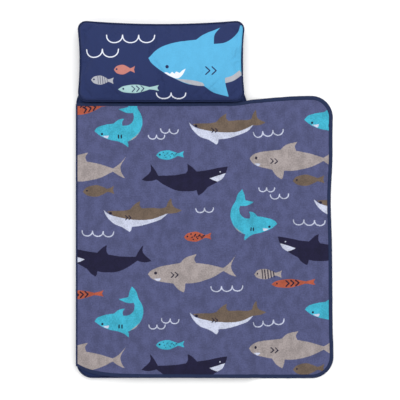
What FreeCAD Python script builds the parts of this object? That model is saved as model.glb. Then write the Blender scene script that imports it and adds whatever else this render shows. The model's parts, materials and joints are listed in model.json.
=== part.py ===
"""A child's roll-up nap mat: a padded mat with a stuffed pillow at its head and a fleece blanket
sewn along one long side. It lies open and flat, with +Y towards the pillow and +Z up.
The mat is cut at its five fold lines into panels that roll up round the pillow, so that every
panel turns on a hinge line just above the blanket. Millimetres throughout."""

import math
import os

import FreeCAD, Part
from FreeCAD import Vector

# The mat: pad and covers, without the piping.
mat_width = 534.0
mat_length = 1120.0
pad_thickness = 16.0
top_cover_thickness = 1.5
bottom_cover_thickness = 3.0
side_cover_thickness = 1.5
mat_corner_radius = 46.0
piping_diameter = 7.0
piping_sunk = 1.0

# The blanket: its side seam lies on the mat's left edge, and its free side lies on the floor.
blanket_width = 818.0
blanket_thickness = 4.0
blanket_corner_radius = 68.0
blanket_head_rise = 20.0
seam_reach = 3.0
binding_width = 15.0
binding_thickness = 0.5
head_setback = 3.0
layer_gap = 0.4
drop_gap = 2.0
drop_run = 16.0

# The pillow, with its piping.
pillow_width = 534.0
pillow_length = 257.0
pillow_thickness = 68.0
pillow_corner_radius = 34.0
pillow_cover_thickness = 1.5
pillow_piping_diameter = 5.0
pillow_shoulder_inset = 14.0
pillow_shoulder_share = 0.62
pillow_crown_inset = 60.0

# How far the pillow and the blanket pass the mat's covers at the two ends.
head_overhang = 12.0
foot_overhang = 8.0

# Rolling up: the fold lines' clearances.
fold_gap = 0.1
pillow_fold_gap = 1.0
roll_gap = 9.0
wrap_gap = 5.0

# Tie straps and carrying handle, of woven webbing, pressed into the underside.
webbing_thickness = 1.0
webbing_width = 25.0
strap_length = 85.0
strap_spacing = 300.0
strap_root_inset = 8.0
patch_thickness = 0.8
hook_patch_length = 45.0
loop_patch_length = 90.0
loop_patch_inset = 24.0
handle_width = 170.0
handle_reach = 78.0
handle_patch_size = 34.0
handle_root_gap = 0.8
recess_clearance = 0.4
recess_margin = 3.0

# Heights, from the floor up.
z_pad = bottom_cover_thickness
z_seam = z_pad + pad_thickness / 2
z_top_cover = z_pad + pad_thickness
z_mat_top = z_top_cover + top_cover_thickness
z_blanket = z_mat_top + layer_gap + binding_thickness
z_blanket_top = z_blanket + blanket_thickness
z_fold = z_blanket_top + binding_thickness + fold_gap
z_pillow_seam = z_mat_top + pillow_thickness / 2
z_pillow_top = z_mat_top + pillow_thickness

# Across: the whole is centred on X = 0.
piping_reach = piping_diameter - piping_sunk
overall_width = piping_reach - seam_reach + blanket_width
x_mat_left = -overall_width / 2 + piping_reach
x_mat_right = x_mat_left + mat_width
x_mat_middle = (x_mat_left + x_mat_right) / 2
x_seam = x_mat_left - seam_reach
x_blanket_right = x_seam + blanket_width
x_drop = x_mat_right + piping_reach + drop_gap

# Along: the whole is centred on Y = 0.
overall_length = foot_overhang + mat_length + head_overhang
y_blanket_foot = -overall_length / 2
y_mat_foot = y_blanket_foot + foot_overhang
y_mat_head = y_mat_foot + mat_length
y_pillow_head = y_mat_head + head_overhang
y_pillow_foot = y_pillow_head - pillow_length

# Fold lines, from the head down: each panel is as long as what it has to reach round.
y_neck_fold = y_pillow_foot - pillow_fold_gap
neck_length = z_pillow_top - z_fold + roll_gap
back_length = y_pillow_head - y_neck_fold + roll_gap
waist_length = neck_length + z_fold + wrap_gap
hip_length = back_length + z_fold + wrap_gap
y_back_fold = y_neck_fold - neck_length
y_waist_fold = y_back_fold - back_length
y_hip_fold = y_waist_fold - waist_length
y_foot_fold = y_hip_fold - hip_length

# Straps and handle: where they are sewn, and how thick they lie.
y_strap_root = y_mat_foot + strap_root_inset
y_handle_root = (y_waist_fold + y_back_fold - handle_reach) / 2
strap_stack = patch_thickness + webbing_thickness
handle_stack = 2 * webbing_thickness

y_low = y_blanket_foot - overall_length
y_high = y_pillow_head + overall_length
panels = [
    ("foot", y_low, y_foot_fold),
    ("hip", y_foot_fold, y_hip_fold),
    ("waist", y_hip_fold, y_waist_fold),
    ("back", y_waist_fold, y_back_fold),
    ("neck", y_back_fold, y_neck_fold),
    ("head", y_neck_fold, y_high),
]


def rounded_rectangle(x0, y0, x1, y1, radius, z):
    """Closed wire, counter-clockwise, with one arc at each corner."""
    bend = radius * (1 - math.sqrt(0.5))
    corners = [
        (Vector(x1, y0 + radius, z), Vector(x1, y1 - radius, z), Vector(x1 - bend, y1 - bend, z)),
        (Vector(x1 - radius, y1, z), Vector(x0 + radius, y1, z), Vector(x0 + bend, y1 - bend, z)),
        (Vector(x0, y1 - radius, z), Vector(x0, y0 + radius, z), Vector(x0 + bend, y0 + bend, z)),
        (Vector(x0 + radius, y0, z), Vector(x1 - radius, y0, z), Vector(x1 - bend, y0 + bend, z)),
    ]
    edges = []
    for number, (start, end, middle) in enumerate(corners):
        next_start = corners[(number + 1) % len(corners)][0]
        edges.append(Part.LineSegment(start, end).toShape())
        edges.append(Part.Arc(end, middle, next_start).toShape())
    return Part.Wire(edges)


def mat_outline(inset, z):
    return rounded_rectangle(
        x_mat_left + inset,
        y_mat_foot + inset,
        x_mat_right - inset,
        y_mat_head - inset,
        mat_corner_radius - inset,
        z,
    )


def prism(wire, height):
    return Part.Face(wire).extrude(Vector(0, 0, height))


def slab(x0, x1, y0, y1, z0, z1):
    return Part.makeBox(x1 - x0, y1 - y0, z1 - z0, Vector(x0, y0, z0))


def round_cord(path, diameter):
    """A round cord swept along a closed wire."""
    first = path.Edges[0]
    start = first.valueAt(first.FirstParameter)
    along = first.tangentAt(first.FirstParameter)
    section = Part.Wire(Part.makeCircle(diameter / 2, start, along))
    return path.makePipeShell([section], True, False)


def panel_of(shape, y0, y1):
    return shape.common(slab(-overall_width, overall_width, y0, y1, -z_fold, z_pillow_top + z_fold))


def save(shape, name):
    solids = shape.Solids
    whole = solids[0] if len(solids) == 1 else Part.makeCompound(solids)
    whole.exportStep(f"parts/{name}.step")
    print(f"{name}: {len(solids)} solid, {whole.Volume / 1000:.1f} cm3")


def mat_pad():
    return prism(mat_outline(side_cover_thickness, z_pad), pad_thickness)


def mat_top_cover():
    outer = prism(mat_outline(0, z_seam), z_mat_top - z_seam)
    return outer.cut(mat_pad())


def mat_bottom_cover():
    outer = prism(mat_outline(0, 0), z_seam)
    cover = outer.cut(mat_pad())
    for recess in webbing_recesses():
        cover = cover.cut(recess)
    return cover


def mat_piping():
    path = mat_outline(-(piping_diameter / 2 - piping_sunk), z_seam)
    return round_cord(path, piping_diameter).cut(prism(mat_outline(0, 0), z_mat_top))


def strap_centres():
    return {"left": x_mat_middle - strap_spacing / 2, "right": x_mat_middle + strap_spacing / 2}




def loop_patch(x_centre):
    half = webbing_width / 2
    y0 = y_waist_fold + loop_patch_inset
    return slab(x_centre - half, x_centre + half, y0, y0 + loop_patch_length, 0, patch_thickness)


def handle_anchors():
    """The two squares that are sewn over the handle's ends; they stay on the mat."""
    squares = []
    for side in (-1, 1):
        x_end = x_mat_middle + side * (handle_width - webbing_width) / 2
        half = handle_patch_size / 2
        y1 = y_handle_root - handle_root_gap
        squares.append(slab(x_end - half, x_end + half, y1 - handle_patch_size, y1, 0, handle_stack))
    return Part.makeCompound(squares)


def webbing_recesses():
    """The shallow hollows that the straps, the handle and their patches press into the underside."""
    cuts = []
    wide = webbing_width / 2 + recess_margin
    for x in strap_centres().values():
        y0 = y_mat_foot - recess_margin
        y1 = y_strap_root + strap_length + recess_margin
        cuts.append(slab(x - wide, x + wide, y0, y1, 0, strap_stack + recess_clearance))
        cuts.append(loop_patch(x))
    half = handle_width / 2 + recess_margin
    y0 = y_handle_root - handle_root_gap
    y1 = y_handle_root + handle_reach + recess_margin
    cuts.append(slab(x_mat_middle - half, x_mat_middle + half, y0, y1, 0, handle_stack + recess_clearance))
    cuts.extend(handle_anchors().Solids)
    return cuts


def strap(x_centre):
    half = webbing_width / 2
    y1 = y_strap_root + strap_length
    return slab(x_centre - half, x_centre + half, y_strap_root, y1, patch_thickness, strap_stack)


def hook_patch(x_centre):
    half = webbing_width / 2
    y1 = y_strap_root + strap_length
    return slab(x_centre - half, x_centre + half, y1 - hook_patch_length, y1, 0, patch_thickness)


def handle():
    """A flat loop: two legs from the sewn ends, joined by the grip."""
    half = handle_width / 2
    y1 = y_handle_root + handle_reach
    whole = slab(x_mat_middle - half, x_mat_middle + half, y_handle_root, y1, 0, webbing_thickness)
    hole_half = half - webbing_width
    y_hole = y1 - webbing_width
    hole = slab(x_mat_middle - hole_half, x_mat_middle + hole_half, y_low, y_hole, 0, webbing_thickness)
    return whole.cut(hole)


def draped_layer(lift, thickness):
    """A cloth of even thickness: level over the mat, down past its right side and level on the floor.
    Its lower face is lifted from the blanket's own lower face by the given amount."""
    slope = math.atan2(z_blanket - binding_thickness, drop_run)
    mitre = math.tan(slope / 2)
    bottom = []
    top = []
    for faces, height in ((bottom, lift), (top, lift + thickness)):
        faces.append(Vector(x_seam - overall_width, 0, z_blanket + height))
        faces.append(Vector(x_drop + height * mitre, 0, z_blanket + height))
        faces.append(Vector(x_drop + drop_run + height * mitre, 0, binding_thickness + height))
        faces.append(Vector(x_blanket_right + overall_width, 0, binding_thickness + height))
    wire = Part.makePolygon(bottom + top[::-1] + bottom[:1])
    layer = Part.Face(wire).extrude(Vector(0, 2 * overall_length, 0))
    layer.translate(Vector(0, -overall_length, 0))
    return layer


def blanket_plan(inset):
    """The blanket's outline seen from above; inset moves the three free sides in, not the seam."""
    x0 = x_seam
    x1 = x_blanket_right - inset
    y0 = y_blanket_foot + inset
    y_seam_head = y_neck_fold - head_setback - inset
    y_drop_head = y_neck_fold - fold_gap - inset
    y1 = y_neck_fold + blanket_head_rise - inset
    radius = blanket_corner_radius - inset
    bend = radius * (1 - math.sqrt(0.5))
    z = -z_fold
    edges = [
        Part.LineSegment(Vector(x0, y0, z), Vector(x1 - radius, y0, z)),
        Part.Arc(
            Vector(x1 - radius, y0, z), Vector(x1 - bend, y0 + bend, z), Vector(x1, y0 + radius, z)
        ),
        Part.LineSegment(Vector(x1, y0 + radius, z), Vector(x1, y1 - radius, z)),
        Part.Arc(
            Vector(x1, y1 - radius, z), Vector(x1 - bend, y1 - bend, z), Vector(x1 - radius, y1, z)
        ),
        Part.LineSegment(Vector(x1 - radius, y1, z), Vector(x_drop, y_drop_head, z)),
        Part.LineSegment(Vector(x_drop, y_drop_head, z), Vector(x0, y_seam_head, z)),
        Part.LineSegment(Vector(x0, y_seam_head, z), Vector(x0, y0, z)),
    ]
    return prism(Part.Wire([edge.toShape() for edge in edges]), 3 * z_fold)


def blanket():
    return draped_layer(0, blanket_thickness).common(blanket_plan(binding_thickness))


def blanket_binding():
    """A folded tape round the three free edges, closed over the blanket's edge like a channel."""
    thick = draped_layer(-binding_thickness, blanket_thickness + 2 * binding_thickness)
    rim = blanket_plan(0).cut(blanket_plan(binding_width))
    return thick.common(rim).cut(blanket())


def pillow_outline(inset, z):
    reach = pillow_piping_diameter / 2 - inset
    half = pillow_width / 2 - pillow_piping_diameter + reach
    y0 = y_pillow_foot + pillow_piping_diameter - reach
    y1 = y_pillow_head - pillow_piping_diameter + reach
    radius = pillow_corner_radius - inset
    return rounded_rectangle(x_mat_middle - half, y0, x_mat_middle + half, y1, max(radius, 1), z)


def pillow_half(inset, side):
    """Half of the stuffed form, from the seam to the crown; side is 1 for the upper half."""
    rise = pillow_thickness / 2 - inset
    shoulder = inset + pillow_shoulder_inset
    crown = inset + pillow_crown_inset
    levels = [
        pillow_outline(inset, z_pillow_seam),
        pillow_outline(shoulder, z_pillow_seam + side * rise * pillow_shoulder_share),
        pillow_outline(crown, z_pillow_seam + side * rise),
    ]
    return Part.makeLoft(levels, True, True)


def pillow_fill():
    return pillow_half(pillow_cover_thickness, 1).fuse(pillow_half(pillow_cover_thickness, -1))


def pillow_cover(side):
    return pillow_half(0, side).cut(pillow_half(pillow_cover_thickness, side))


def pillow_piping():
    cord = round_cord(pillow_outline(0, z_pillow_seam), pillow_piping_diameter)
    return cord.cut(pillow_half(0, 1)).cut(pillow_half(0, -1))


def main():
    os.makedirs("parts", exist_ok=True)
    layers = {"pad": mat_pad(), "top_cover": mat_top_cover(), "bottom_cover": mat_bottom_cover()}
    piping = mat_piping()
    cloth = blanket()
    binding = blanket_binding()
    left_half = slab(-2 * overall_width, x_mat_middle, y_low, y_high, -z_fold, z_pillow_top)
    over_mat = slab(-2 * overall_width, x_drop, y_low, y_high, -z_fold, z_pillow_top)

    for panel, y0, y1 in panels:
        for layer, shape in layers.items():
            save(panel_of(shape, y0, y1), f"{layer}_{panel}")
        cord = panel_of(piping, y0, y1)
        if panel in ("foot", "head"):
            save(cord, f"piping_{panel}")
        else:
            save(cord.common(left_half), f"piping_{panel}_left")
            save(cord.cut(left_half), f"piping_{panel}_right")

    for panel, y0, y1 in panels[:-1]:
        y_end = y_high if panel == "neck" else y1
        cloth_panel = panel_of(cloth, y0, y_end)
        save(cloth_panel.common(over_mat), f"blanket_{panel}_over_mat")
        save(cloth_panel.cut(over_mat), f"blanket_{panel}_free_side")
        save(panel_of(binding, y0, y_end), f"binding_{panel}")

    save(pillow_fill(), "pillow_fill")
    save(pillow_cover(1), "pillow_front_cover")
    save(pillow_cover(-1), "pillow_back_cover")
    save(pillow_piping(), "pillow_piping")

    for side, x in strap_centres().items():
        save(strap(x), f"strap_{side}")
        save(hook_patch(x), f"hook_patch_{side}")
        save(loop_patch(x), f"loop_patch_{side}")
    save(handle(), "handle")
    save(handle_anchors(), "handle_anchors")

    print(f"overall {overall_width:.1f} x {overall_length:.1f} x {z_pillow_top:.1f}")
    print(f"fold lines at Y {y_foot_fold:.1f} {y_hip_fold:.1f} {y_waist_fold:.1f}", end=" ")
    print(f"{y_back_fold:.1f} {y_neck_fold:.1f}, height {z_fold:.1f}")
    print(f"seam hinge at X {x_seam:.1f}, strap roots at Y {y_strap_root:.1f}", end=" ")
    print(f"X {strap_centres()}, handle root at Y {y_handle_root:.1f}, X {x_mat_middle:.1f}")


main()
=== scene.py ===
# %% [markdown]
# # A child's roll-up nap mat
#
# The mat is a long flat pad in a navy cover. A stuffed pillow with a printed cover lies on its
# head end, and a printed plush blanket is sewn along its left side. The blanket is wider than
# the mat, so its free side lies on the floor. The design, its joints and its sizes come from the
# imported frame; this lesson makes the cloth. Everything is in metres, with +Y towards the pillow.

# %% Load the frame
import json
import math

import bpy
import numpy as np
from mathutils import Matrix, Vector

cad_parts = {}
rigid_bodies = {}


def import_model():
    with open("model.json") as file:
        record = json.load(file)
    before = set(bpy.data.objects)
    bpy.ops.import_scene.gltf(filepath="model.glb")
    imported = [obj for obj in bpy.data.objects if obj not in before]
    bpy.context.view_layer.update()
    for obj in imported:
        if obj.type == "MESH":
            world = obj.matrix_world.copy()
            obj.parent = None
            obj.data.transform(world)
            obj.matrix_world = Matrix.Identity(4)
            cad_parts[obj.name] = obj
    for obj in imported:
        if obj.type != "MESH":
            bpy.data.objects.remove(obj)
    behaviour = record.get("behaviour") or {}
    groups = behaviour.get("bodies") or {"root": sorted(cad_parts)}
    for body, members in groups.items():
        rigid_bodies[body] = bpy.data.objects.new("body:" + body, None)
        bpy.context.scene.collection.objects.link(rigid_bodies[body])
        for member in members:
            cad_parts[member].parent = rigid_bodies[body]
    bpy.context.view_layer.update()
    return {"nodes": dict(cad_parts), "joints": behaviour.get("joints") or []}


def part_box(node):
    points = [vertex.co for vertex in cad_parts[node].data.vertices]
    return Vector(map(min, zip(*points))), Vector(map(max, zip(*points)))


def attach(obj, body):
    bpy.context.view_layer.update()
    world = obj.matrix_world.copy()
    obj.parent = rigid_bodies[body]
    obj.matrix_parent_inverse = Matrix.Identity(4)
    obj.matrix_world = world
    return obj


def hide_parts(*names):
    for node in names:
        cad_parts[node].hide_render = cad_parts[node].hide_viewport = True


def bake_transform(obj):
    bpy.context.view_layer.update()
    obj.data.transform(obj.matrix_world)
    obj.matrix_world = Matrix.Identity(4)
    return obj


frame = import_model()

MM = 0.001

# %% [markdown]
# ## Sizes from the frame
#
# The mat folds at five lines into six panels. On the real mat each layer is one piece of cloth,
# so every cloth here is made whole first. Then it is cut in the middle of the panels, where it
# stays flat, so that each cut piece holds one fold line. A cut on the fold itself would show a
# crack when the mat rolls up.

# %% Panels, fold lines and boxes
PANELS = ["foot", "hip", "waist", "back", "neck", "head"]


def span(*nodes):
    """Lowest and highest corner of several CAD nodes together."""
    corners = np.array([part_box(node) for node in nodes])
    return corners[:, 0].min(axis=0), corners[:, 1].max(axis=0)


def fold_position(near, far):
    pair = {f"mat_{near}", f"mat_{far}"}
    return next(j["pos_m"] for j in frame["joints"] if {j["parent"], j["child"]} == pair)


folds = [fold_position(near, far) for near, far in zip(PANELS, PANELS[1:])]
fold_y = np.array([position[1] for position in folds])
panel_middles = (fold_y[:-1] + fold_y[1:]) / 2
mat_low, mat_high = span(*[f"{part}_{p}" for part in ("top_cover", "bottom_cover") for p in PANELS])
cloth_low, cloth_high = span(*[f"binding_{p}" for p in PANELS[:-1]])
pillow_low, pillow_high = span("pillow_piping", "pillow_front_cover", "pillow_back_cover")
seam_hinge = next(j["pos_m"] for j in frame["joints"] if j["name"] == "blanket_turn_back")
print("fold lines at", np.round(fold_y, 4).tolist())
print("mat", np.round(mat_high - mat_low, 4).tolist())

# %% [markdown]
# ## Camera
#
# The mat is seen from straight above. A long lens far away keeps the edges of the pillow
# upright. It comes first, because every later choice of size and colour is judged through it.

# %% Camera above the mat
CAMERA_HEIGHT = 3.4
VIEW_WIDTH = 1.284
camera_data = bpy.data.cameras.new("above")
camera = bpy.data.objects.new("above", camera_data)
bpy.context.scene.collection.objects.link(camera)
camera.location = (-0.0145, 0.0015, CAMERA_HEIGHT)
camera_data.lens = camera_data.sensor_width * CAMERA_HEIGHT / VIEW_WIDTH
bpy.context.scene.camera = camera
print("lens", round(camera_data.lens, 1), "mm")

# %% [markdown]
# ## Meshes of cloth
#
# A cloth is a grid of rows along the mat and columns across it. Working on the grid as a table
# of numbers is quicker and more exact than modelling by hand: rows can be added on a smooth
# curve, and the print can be worked out from the place that each point had on the flat cloth.

# %% Grid helpers


def finer(values, parts):
    """Puts parts steps between neighbours, on a smooth curve through all of them."""
    first = 2 * values[:1] - values[1:2]
    last = 2 * values[-1:] - values[-2:-1]
    line = np.concatenate([first, values, last])
    a, b, c, d = (line[k : len(line) - 3 + k, None] for k in range(4))
    t = (np.arange(parts) / parts).reshape((1, parts) + (1,) * (values.ndim - 1))
    curve = b + t / 2 * (c - a + t * (2 * a - 5 * b + 4 * c - d + t * (3 * (b - c) + d - a)))
    return np.concatenate([curve.reshape((-1,) + values.shape[1:]), values[-1:]])


def finer_grid(grid, parts):
    return finer(finer(grid, parts).swapaxes(0, 1), parts).swapaxes(0, 1)


def soften(grid, times):
    """Averages each inner point of a grid with its neighbours."""
    grid = grid.copy()
    for _ in range(times):
        around = grid[:-2, 1:-1] + grid[2:, 1:-1] + grid[1:-1, :-2] + grid[1:-1, 2:]
        grid[1:-1, 1:-1] = grid[1:-1, 1:-1] / 2 + around / 8
    return grid


def grid_normals(grid):
    normals = np.cross(np.gradient(grid, axis=1), np.gradient(grid, axis=0))
    return normals / np.linalg.norm(normals, axis=2, keepdims=True)


def grid_faces(rows, columns, first=0, downward=False):
    corner = first + np.arange((rows - 1) * columns).reshape(rows - 1, columns)[:, :-1].ravel()
    quads = np.stack([corner, corner + 1, corner + columns + 1, corner + columns], axis=1)
    return quads[:, ::-1] if downward else quads


def both_sides(size):
    """Faces of a grid's upper side, then of a lower side whose points come after."""
    lower = grid_faces(*size, first=size[0] * size[1], downward=True)
    return np.concatenate([grid_faces(*size), lower])


def sewn_rim(size):
    """The rim of a grid, and which point each of two such grids uses when sewn together there."""
    rim = np.ones(size, bool)
    rim[1:-1, 1:-1] = False
    joined = np.arange(2 * rim.size)
    joined[rim.size :][rim.ravel()] = np.flatnonzero(rim)
    return rim, joined


def bulge(along, middle, spread):
    """A smooth bump, 1 at its middle and fading out on both sides."""
    return np.exp(-(((along - middle) / spread) ** 2))


print("a run of 3 points with 4 steps between has", len(finer(np.zeros((3, 1)), 4)), "points")

# %% Mesh objects and their pieces
BEND_REACH = 30 * MM


def cloth_object(name, points, faces, materials, layers=None, fields=None):
    """A smooth mesh; layers is each face's material, fields are numbers kept at each point."""
    mesh = bpy.data.meshes.new(name)
    mesh.from_pydata(points.tolist(), [], faces.tolist())
    for material in materials:
        mesh.materials.append(material)
    if layers is not None:
        mesh.polygons.foreach_set("material_index", layers.astype(np.int32))
    for field, values in (fields or {}).items():
        kind = "FLOAT" if values.ndim == 1 else "FLOAT_VECTOR"
        attribute = mesh.attributes.new(field, kind, "POINT")
        attribute.data.foreach_set("value" if values.ndim == 1 else "vector", values.ravel())
    mesh.polygons.foreach_set("use_smooth", np.ones(len(faces), bool))
    mesh.update()
    piece = bpy.data.objects.new(name, mesh)
    bpy.context.scene.collection.objects.link(piece)
    return piece


def pieces_over_folds(name, cuts, points, faces, materials, layers=None, fields=None):
    """Cuts a cloth in the middle of the panels into pieces, each holding one fold line."""
    middle = points[faces].mean(axis=1)[:, 1]
    edges = [-math.inf, *cuts, math.inf]
    made = []
    for number, (low, high) in enumerate(zip(edges, edges[1:])):
        chosen = (middle >= low) & (middle < high)
        if not chosen.any():
            continue
        used, small = np.unique(faces[chosen], return_inverse=True)
        near, far = PANELS[number], PANELS[number + 1]
        piece = cloth_object(
            f"{name}_{near}_{far}",
            points[used],
            small.reshape(-1, faces.shape[1]),
            materials,
            None if layers is None else layers[chosen],
            {field: values[used] for field, values in (fields or {}).items()},
        )
        x, y, z = folds[number]
        start, end = (x, y - BEND_REACH, z), (x, y + BEND_REACH, z)
        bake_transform(piece)
        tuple(start)
        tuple(end)
        made.append(piece)
    print(name, "in", len(made), "pieces,", len(faces), "faces")
    return made


# %% [markdown]
# ## Materials
#
# All of it is cloth, so the materials differ in how the yarn lies: cut pile on the blanket,
# plain weave on the covers, ribs on the webbing. Their patterns are drawn in real millimetres.
# A thread is too fine to show from this far, so weaves are drawn about three times as coarse as
# they are. Colours are written as on a colour card and turned to linear light by one function.

# %% Colour and node helpers


def linear(card):
    """A colour card value such as #2b395d, as linear light."""
    parts = [int(card[k : k + 2], 16) / 255 for k in (1, 3, 5)]
    return [v / 12.92 if v <= 0.04045 else ((v + 0.055) / 1.055) ** 2.4 for v in parts] + [1.0]


def add_node(tree, kind, sockets=None, **settings):
    """Adds a node, sets it up, and gives each named socket a value or another node's output."""
    node = tree.nodes.new(kind)
    for setting, value in settings.items():
        setattr(node, setting, value)
    for name, value in (sockets or {}).items():
        socket = next(s for s in node.inputs if name in (s.identifier, s.name))
        if isinstance(value, bpy.types.NodeSocket):
            tree.links.new(value, socket)
        else:
            socket.default_value = value[:3] if socket.type == "VECTOR" else value
    return node


def cloth_material(name, colour_of, height_of, height, roughness, sheen, sheen_tint, cut=True):
    """A matt cloth. Its pattern follows the flat cloth it was cut from, or else the solid."""
    material = bpy.data.materials.new(name)
    material.use_nodes = True
    tree = material.node_tree
    tree.nodes.clear()
    if cut:
        place = add_node(tree, "ShaderNodeAttribute", attribute_name="flat").outputs["Vector"]
    else:
        place = add_node(tree, "ShaderNodeTexCoord").outputs["Object"]
    surface = add_node(
        tree,
        "ShaderNodeBsdfPrincipled",
        {
            "Base Color": colour_of(tree, place),
            "Roughness": roughness,
            "IOR": 1.47,
            "Specular IOR Level": 0.25,
            "Sheen Weight": sheen,
            "Sheen Roughness": 0.45,
            "Sheen Tint": linear(sheen_tint),
        },
    )
    relief = {"Height": height_of(tree, place), "Distance": height, "Strength": 0.8}
    bump = add_node(tree, "ShaderNodeBump", relief).outputs["Normal"]
    tree.links.new(bump, surface.inputs["Normal"])
    add_node(tree, "ShaderNodeOutputMaterial", {"Surface": surface.outputs["BSDF"]})
    return material


print("navy on the card #2b395d is", np.round(linear("#2b395d"), 3).tolist())

# %% [markdown]
# ### Printed plush fleece
#
# The blanket is polyester plush with a short cut pile, printed on one side. The pile leans in
# soft patches after handling, and the patches catch the light differently; that uneven sheen is
# painted into the colour as a faint light and dark mottle. The tips also catch light at a flat
# angle, which is what sheen gives. A print on pile has no sharp edge: the dyed tips lean over
# their neighbours, so each ink's edge is broken up by about a millimetre. An ink is drawn where
# its field, the distance to its outline, is below nought.

# %% Inks over a cloth's ground colour
INK_EDGE = 0.7 * MM


def inked(tree, place, ground, inks, fray):
    """Lays the inks over the ground colour in order; fray is how far pile breaks up an edge."""
    noise = {"Vector": place, "Scale": 1 / (2.2 * MM), "Detail": 2.0}
    fine = add_node(tree, "ShaderNodeTexNoise", noise).outputs["Fac"]
    shift = add_node(
        tree,
        "ShaderNodeMapRange",
        {"Value": fine, "From Min": 0.25, "From Max": 0.75, "To Min": -fray, "To Max": fray},
    ).outputs["Result"]
    for ink, card in inks.items():
        field = add_node(tree, "ShaderNodeAttribute", attribute_name=ink).outputs["Fac"]
        frayed = add_node(
            tree, "ShaderNodeMath", {"Value": field, "Value_001": shift}, operation="ADD"
        ).outputs["Value"]
        share = add_node(
            tree,
            "ShaderNodeMapRange",
            {"Value": frayed, "From Min": INK_EDGE, "From Max": -INK_EDGE},
            interpolation_type="SMOOTHSTEP",
        ).outputs["Result"]
        sockets = {"Factor_Float": share, "A_Color": ground, "B_Color": linear(card)}
        mix = add_node(tree, "ShaderNodeMix", sockets, data_type="RGBA")
        ground = next(s for s in mix.outputs if s.identifier == "Result_Color")
    return ground


def sheen_and_tone_mottle(tree, place, colour, light, dark):
    """A light and dark mottle: wide patches, and finer streaks along the cloth's length.
    On the fleece it is painted sheen, the light caught by patches of leaning pile.
    """
    # Painted sheen on the fleece: the colour is made lighter and darker in patches where the pile
    # leans.
    streaky = add_node(tree, "ShaderNodeMapping", {"Vector": place, "Scale": (1.3, 0.9, 1.0)})
    noise = {"Vector": streaky.outputs["Vector"], "Scale": 1 / (34 * MM), "Detail": 2.0}
    wide = add_node(tree, "ShaderNodeTexNoise", noise).outputs["Fac"]
    noise = {"Vector": place, "Scale": 1 / (4.5 * MM), "Detail": 2.0}
    tufts = add_node(tree, "ShaderNodeTexNoise", noise).outputs["Fac"]
    lean = add_node(
        tree, "ShaderNodeMath", {"Value": wide, "Value_001": tufts}, operation="ADD"
    ).outputs["Value"]
    level = add_node(
        tree,
        "ShaderNodeMapRange",
        {"Value": lean, "From Min": 0.8, "From Max": 1.2, "To Min": dark, "To Max": light},
    ).outputs["Result"]
    return add_node(
        tree, "ShaderNodeVectorMath", {"Vector": colour, "Scale": level}, operation="SCALE"
    ).outputs["Vector"]


def pile_height(tree, place):
    noise = {"Vector": place, "Scale": 1 / (3.0 * MM), "Detail": 3.0}
    tufts = add_node(tree, "ShaderNodeTexNoise", noise).outputs["Fac"]
    noise = {"Vector": place, "Scale": 1 / (22 * MM), "Detail": 2.0}
    folds_of_pile = add_node(tree, "ShaderNodeTexNoise", noise).outputs["Fac"]
    wide = {"Value": folds_of_pile, "Value_001": 3.0, "Value_002": tufts}
    return add_node(tree, "ShaderNodeMath", wide, operation="MULTIPLY_ADD").outputs["Value"]


BLANKET_INKS = {
    "teal": "#389eb7",
    "brown": "#625449",
    "beige": "#938a89",
    "indigo": "#181632",
    "orange": "#9e4e39",
    "white": "#b6bbce",
    "dark": "#17152c",
}
FLEECE_GROUND = linear("#4a4e72")

# Both fleece sides get the same painted sheen: the colour is scaled between 0.82 and 1.18 for
# leaning pile.
printed_fleece = cloth_material(
    "plush_fleece_cut_pile_printed",
    lambda tree, place: sheen_and_tone_mottle(
        tree, place, inked(tree, place, FLEECE_GROUND, BLANKET_INKS, 0.9 * MM), 1.18, 0.82
    ),
    pile_height,
    0.9 * MM,
    roughness=0.9,
    sheen=0.12,
    sheen_tint="#c9cde6",
)
plain_fleece = cloth_material(
    "plush_fleece_cut_pile_back",
    lambda tree, place: sheen_and_tone_mottle(tree, place, FLEECE_GROUND, 1.18, 0.82),
    pile_height,
    0.9 * MM,
    roughness=0.92,
    sheen=0.12,
    sheen_tint="#c9cde6",
)
print("fleece inks:", ", ".join(BLANKET_INKS))

# %% [markdown]
# ### Woven cloths
#
# The covers are a polyester and cotton plain weave: warp and weft cross one over one, so the
# surface is a fine chequer of small bumps, matt, with slightly uneven yarns. The edge binding
# and piping are the same yarn woven as tape. The straps are polypropylene webbing, whose ribs
# run across it and give a faint plastic gloss.

# %% Plain weave, webbing and tape
THREAD = 1.3 * MM


def weave_height(tree, place):
    """Warp and weft as two crossed waves; one full wave is two threads."""
    crossed = []
    for direction in ("X", "Y"):
        wave = {"Vector": place, "Scale": math.pi / (10 * THREAD), "Distortion": 0.4}
        settings = {"bands_direction": direction, "wave_profile": "SIN"}
        crossed.append(add_node(tree, "ShaderNodeTexWave", wave, **settings).outputs["Fac"])
    both = {"Value": crossed[0], "Value_001": crossed[1]}
    return add_node(tree, "ShaderNodeMath", both, operation="MULTIPLY").outputs["Value"]


def yarn_colour(card, uneven):
    """The dyed yarn's colour, a little lighter and darker from thread to thread."""

    def colour_of(tree, place):
        noise = {"Vector": place, "Scale": 1 / (9 * MM), "Detail": 5.0}
        level = add_node(
            tree,
            "ShaderNodeMapRange",
            {
                "Value": add_node(tree, "ShaderNodeTexNoise", noise).outputs["Fac"],
                "From Min": 0.3,
                "From Max": 0.7,
                "To Min": 1 - uneven,
                "To Max": 1 + uneven,
            },
        ).outputs["Result"]
        scaled = {"Vector": linear(card), "Scale": level}
        return add_node(tree, "ShaderNodeVectorMath", scaled, operation="SCALE").outputs["Vector"]

    return colour_of


def woven(name, card, roughness=0.85, sheen=0.05, relief=0.25 * MM, uneven=0.08, cut=True):
    colour = yarn_colour(card, uneven)
    return cloth_material(name, colour, weave_height, relief, roughness, sheen, "#b9c2de", cut)


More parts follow.
